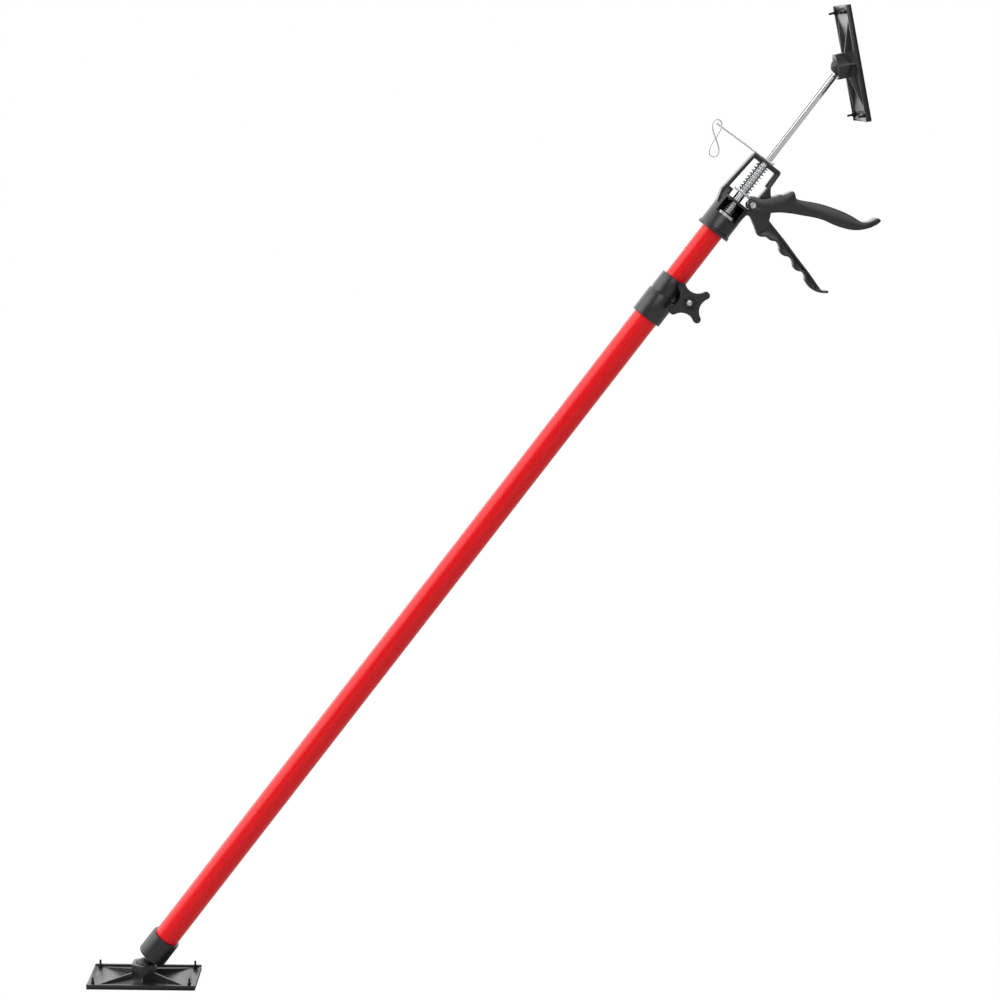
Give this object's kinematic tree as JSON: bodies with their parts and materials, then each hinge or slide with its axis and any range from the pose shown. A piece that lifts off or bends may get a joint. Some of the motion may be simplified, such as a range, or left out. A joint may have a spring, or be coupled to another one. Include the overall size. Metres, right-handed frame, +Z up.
{
  "type": "telescopic drywall support pole",
  "caption": "Telescopic drywall support pole with sliding red tubes, a clamp knob, a ratchet head with a pump lever, a bright push rod and tilting rubber-soled pads at both ends.",
  "frame": {"origin": "centre of the foot pad's rubber sole, on its underside, where it rests on the floor", "axes": "Z is up from the floor; the foot pad's long side runs along X; the pole leans from upright towards +X; +Y points away from the viewer of the picture"},
  "size_m": [0.8477, 0.0647, 1.081],
  "materials": {
    "red_paint": "glossy bright red enamel on round steel tube",
    "black_moulding": "satin black moulded nylon with a fine grain",
    "black_ball": "dark smooth coated steel",
    "rubber_sole": "dull black rubber",
    "chromed_rod": "polished and plated",
    "zinc_steel": "bright zinc-plated steel",
    "spring_steel": "bright nickel-plated spring wire"
  },
  "bodies": {
    "foot_pad": {"foot_plate": "black_moulding", "foot_sole": "rubber_sole"},
    "foot_stud": {"foot_ball": "black_ball", "foot_ball_nut": "zinc_steel"},
    "lower_pole": {"foot_cap": "black_moulding", "lower_tube": "red_paint", "clamp_collar": "black_moulding", "collar_rivet": "zinc_steel", "clamp_screw": "zinc_steel"},
    "clamp_knob_body": {"clamp_knob": "black_moulding", "clamp_nut": "zinc_steel"},
    "upper_pole": {"upper_tube": "red_paint", "tube_guide": "black_moulding", "ratchet_frame": "black_moulding", "sleeve_rivet": "zinc_steel", "spring_cup": "zinc_steel", "short_spring": "spring_steel", "lever_pin": "zinc_steel", "return_spring": "spring_steel"},
    "lever": {"pump_lever": "black_moulding"},
    "drive": {"drive_plate": "zinc_steel"},
    "release": {"release_strip": "zinc_steel"},
    "ring": {"release_ring": "zinc_steel"},
    "rod": {"push_rod": "chromed_rod", "rod_guide": "black_moulding"},
    "head_stud": {"head_ball": "black_ball"},
    "head_pad": {"head_plate": "black_moulding", "head_sole": "rubber_sole"}
  },
  "joints": [
    {"name": "foot_tilt", "type": "hinge", "parent": "foot_pad", "child": "foot_stud", "pos_m": [0, 0, 0.01606], "axis": [0, 1, 0], "range_deg": [-72.8, 0]},
    {"name": "foot_turn", "type": "hinge", "parent": "foot_stud", "child": "lower_pole", "pos_m": [0, 0, 0.01606], "axis": [0.5934, 0, 0.8049], "continuous": true},
    {"name": "clamp_turn", "type": "hinge", "parent": "lower_pole", "child": "clamp_knob_body", "pos_m": [0.58769, 0, 0.77138], "axis": [0, 1, 0], "range_deg": [-360, 0]},
    {"name": "telescope", "type": "slide", "parent": "lower_pole", "child": "upper_pole", "axis": [0.5934, 0, 0.8049], "range_m": [-0.06, 0.75]},
    {"name": "lever_squeeze", "type": "hinge", "parent": "upper_pole", "child": "lever", "pos_m": [0.65255, 0, 0.87352], "axis": [0, 1, 0], "range_deg": [0, 34], "stiffness_Nm_per_rad": 0.4, "springref_deg": -28.65},
    {"name": "drive_stroke", "type": "slide", "parent": "upper_pole", "child": "drive", "axis": [0.5934, 0, 0.8049], "range_m": [0, 0.0028], "deforming": ["return_spring"]},
    {"name": "release_lift", "type": "hinge", "parent": "upper_pole", "child": "release", "pos_m": [0.67177, 0, 0.91476], "axis": [0, 1, 0], "range_deg": [0, 6]},
    {"name": "ring_swing", "type": "hinge", "parent": "release", "child": "ring", "pos_m": [0.61781, 0, 0.9543], "axis": [-0.8211, 0, 0.5707], "range_deg": [-20, 20]},
    {"name": "rod_slide", "type": "slide", "parent": "upper_pole", "child": "rod", "axis": [0.5934, 0, 0.8049], "range_m": [-0.06, 0.2]},
    {"name": "head_turn", "type": "hinge", "parent": "rod", "child": "head_stud", "pos_m": [0.73869, 0, 1.01799], "axis": [0.5934, 0, 0.8049], "continuous": true},
    {"name": "head_tilt", "type": "hinge", "parent": "head_stud", "child": "head_pad", "pos_m": [0.73869, 0, 1.01799], "axis": [0, 1, 0], "range_deg": [-80.8, 0]}
  ],
  "couplings": [
    {"joint": "drive_stroke", "follows": "lever_squeeze", "m_per_rad": 0.004605}
  ]
}
